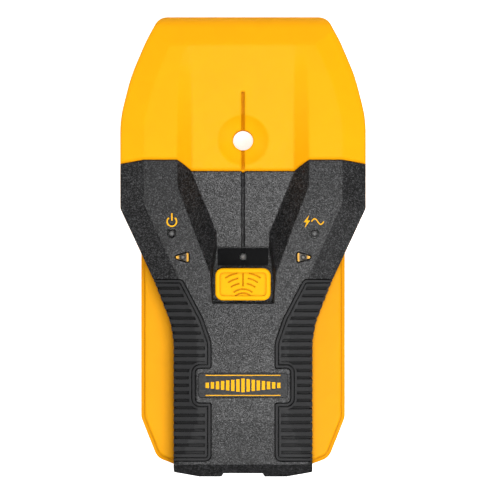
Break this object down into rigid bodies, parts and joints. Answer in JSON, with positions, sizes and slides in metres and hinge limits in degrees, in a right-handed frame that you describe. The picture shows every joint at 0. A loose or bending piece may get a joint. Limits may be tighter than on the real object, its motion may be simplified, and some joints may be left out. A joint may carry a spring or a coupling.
{
  "type": "stud finder",
  "caption": "Hand-held stud finder: wide sensing head with a marking hole in a sighting channel, waisted black cover with button, indicator lights and ribbed grip, hinged battery door.",
  "frame": {"origin": "middle of the back, on the plane that the glide pads rest on, centred on the outline's length and width", "axes": "+X to the right seen from the front, +Y towards the sensing head, +Z out of the front, away from the wall"},
  "size_m": [0.088, 0.165, 0.0276],
  "materials": {
    "yellow_shell": "satin moulded ABS",
    "black_cover": "fine spark-eroded grain",
    "grip_rubber": "soft ribbed overmould",
    "badge": "satin",
    "button_plastic": "satin",
    "black_window": "polished",
    "switch_black": "moulded",
    "switch_plunger": "moulded",
    "board": "solder mask",
    "copper": "plated copper",
    "chip_black": "moulded",
    "resistor": "film on ceramic",
    "capacitor": "sleeved can",
    "buzzer_black": "moulded",
    "lamp_clear": "water-clear resin",
    "lamp_red": "tinted resin",
    "lens_amber": "tinted polycarbonate",
    "spacer_white": "moulded",
    "battery_case": "printed jacket",
    "contact_steel": "nickel plated",
    "snap_black": "moulded",
    "lead_red": "insulated wire",
    "lead_black": "insulated wire",
    "foam": "closed-cell foam",
    "screw_steel": "zinc plated",
    "felt": "felt glide"
  },
  "bodies": {
    "tool": {"rear_shell": "yellow_shell", "head_shell": "yellow_shell", "front_cover": "black_cover", "grip_pad_left": "grip_rubber", "grip_pad_right": "grip_rubber", "badge_plate": "badge", "left_arrow_lens": "lens_amber", "right_arrow_lens": "lens_amber", "centre_light_window": "black_window", "switch_body": "switch_black", "main_pcb": "board", "sensor_plates": "copper", "microcontroller": "chip_black", "amplifier_chip": "chip_black", "resistors": "resistor", "capacitors": "capacitor", "buzzer": "buzzer_black", "ready_lamp": "lamp_clear", "live_wire_lamp": "lamp_red", "left_arrow_lamp": "lamp_clear", "right_arrow_lamp": "lamp_clear", "centre_lamp": "lamp_clear", "lamp_spacers": "spacer_white", "battery": "battery_case", "battery_terminals": "contact_steel", "battery_snap": "snap_black", "battery_lead_red": "lead_red", "battery_lead_black": "lead_black", "housing_screws": "screw_steel", "board_screws": "screw_steel", "glide_pads": "felt"},
    "button": {"power_button": "button_plastic"},
    "plunger": {"switch_plunger": "switch_plunger"},
    "door": {"battery_door": "yellow_shell", "door_foam_pad": "foam"},
    "latch": {"door_latch": "button_plastic"}
  },
  "joints": [
    {"name": "button_press", "type": "slide", "parent": "tool", "child": "button", "axis": [0, 0, -1], "range_m": [0, 0.0012], "stiffness_N_per_m": 500},
    {"name": "plunger_travel", "type": "slide", "parent": "tool", "child": "plunger", "axis": [0, 0, -1], "range_m": [0, 0.0012]},
    {"name": "door_hinge", "type": "hinge", "parent": "tool", "child": "door", "pos_m": [0, -0.0226, 0.0015], "axis": [1, 0, 0], "range_deg": [0, 90]},
    {"name": "latch_flex", "type": "hinge", "parent": "door", "child": "latch", "pos_m": [0, -0.079, 0.0033], "axis": [-1, 0, 0], "range_deg": [0, 14], "stiffness_Nm_per_rad": 0.1}
  ],
  "couplings": [
    {"joint": "plunger_travel", "follows": "button_press", "ratio": 1}
  ]
}
